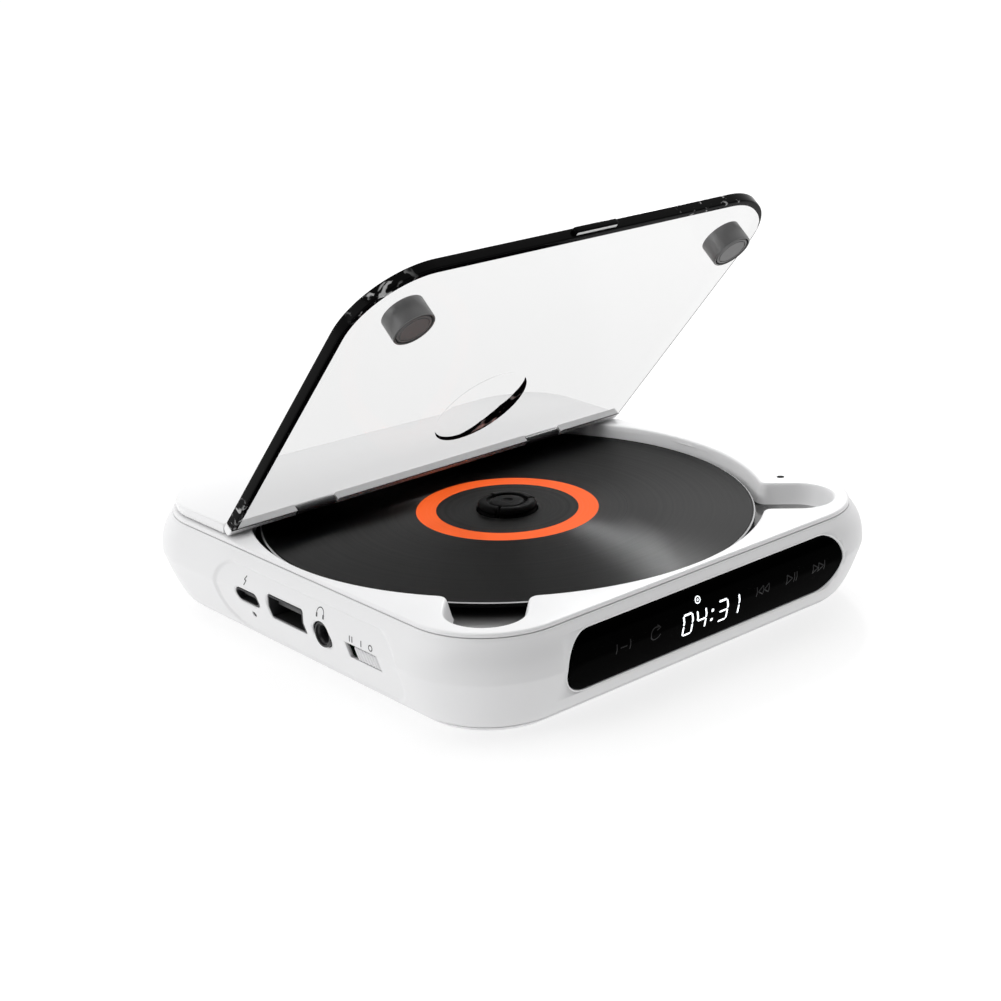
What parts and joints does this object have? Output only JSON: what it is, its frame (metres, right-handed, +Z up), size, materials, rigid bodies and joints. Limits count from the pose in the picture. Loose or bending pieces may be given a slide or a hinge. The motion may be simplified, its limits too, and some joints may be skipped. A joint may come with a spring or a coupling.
{
  "type": "portable cd player",
  "caption": "Square portable disc player with bulging white sides, a hinged clear lid, a front display window and side sockets.",
  "frame": {"origin": "under the middle of the body, on the surface that the feet stand on; the disc's axis passes through it", "axes": "+X to the right seen from the display side, +Y towards the lid's hinge (the display faces -Y), +Z up"},
  "size_m": [0.1344, 0.1352, 0.0964],
  "materials": {
    "case_white": "glossy moulded",
    "deck_white": "satin-gloss moulded",
    "lid_clear": "clear polished acrylic",
    "lens_black": "back-painted, mirror gloss",
    "soft_black": "fine matte",
    "magnet_dark": "satin plated",
    "hub_black": "satin-gloss moulded",
    "disc_print": "printed top with fine grooves",
    "cup_grey": "satin grey",
    "steel": "plain",
    "brass": "turned",
    "rubber": "matte",
    "board_green": "solder-masked board",
    "cell_blue": "shrink-wrapped cell",
    "light_pipe": "diffusing",
    "pickup_glass": "coated lens"
  },
  "bodies": {
    "case": {"battery_pack": "cell_blue", "bottom_cover": "case_white", "case_screw_front_left": "steel", "case_screw_front_right": "steel", "case_screw_rear_left": "steel", "case_screw_rear_right": "steel", "catch_plate_left": "steel", "catch_plate_right": "steel", "charge_light": "light_pipe", "damper_front_left": "rubber", "damper_front_right": "rubber", "damper_rear_left": "rubber", "damper_rear_right": "rubber", "display_lens": "lens_black", "display_module": "soft_black", "drive_chassis": "steel", "foot_front_left": "rubber", "foot_front_right": "rubber", "foot_rear_left": "rubber", "foot_rear_right": "rubber", "guide_rail_front": "steel", "guide_rail_rear": "steel", "headphone_jack": "soft_black", "hinge_bracket_left": "soft_black", "hinge_bracket_right": "soft_black", "hinge_pin_left": "steel", "hinge_pin_right": "steel", "lid_sensor": "soft_black", "main_board": "board_green", "port_board": "board_green", "processor_chip": "soft_black", "rear_plate": "deck_white", "side_housing": "case_white", "sled_motor": "steel", "spindle_motor": "steel", "switch_body": "soft_black", "top_deck": "deck_white", "touch_board": "board_green", "usb_a_shell": "steel", "usb_a_tongue": "soft_black", "usb_c_shell": "steel", "usb_c_tongue": "soft_black"},
    "lid": {"lid_panel": "lid_clear", "magnet_cup_left": "cup_grey", "magnet_cup_right": "cup_grey", "magnet_left": "magnet_dark", "magnet_right": "magnet_dark"},
    "spindle": {"spindle_shaft": "steel", "spindle_hub": "hub_black", "disc": "disc_print"},
    "pickup": {"pickup_sled": "soft_black", "pickup_lens": "pickup_glass"},
    "lead_screw": {"lead_screw": "brass"},
    "switch_knob": {"switch_knob": "case_white"}
  },
  "joints": [
    {"name": "lid_hinge", "type": "hinge", "parent": "case", "child": "lid", "pos_m": [0, 0.02746, 0.0262], "axis": [-1, 0, 0], "range_deg": [-48.85, 25]},
    {"name": "spindle_spin", "type": "hinge", "parent": "case", "child": "spindle", "pos_m": [0, 0, 0.02], "axis": [0, 0, 1], "continuous": true},
    {"name": "sled_slide", "type": "slide", "parent": "case", "child": "pickup", "axis": [1, 0, 0], "range_m": [0, 0.028]},
    {"name": "lead_screw_turn", "type": "hinge", "parent": "case", "child": "lead_screw", "pos_m": [0.035, 0.02, 0.0149], "axis": [1, 0, 0], "range_deg": [-1, 3362]},
    {"name": "switch_slide", "type": "slide", "parent": "case", "child": "switch_knob", "axis": [0, 1, 0], "range_m": [0, 0.0027]}
  ],
  "couplings": [
    {"joint": "lead_screw_turn", "follows": "sled_slide", "rad_per_m": 2094.4}
  ]
}
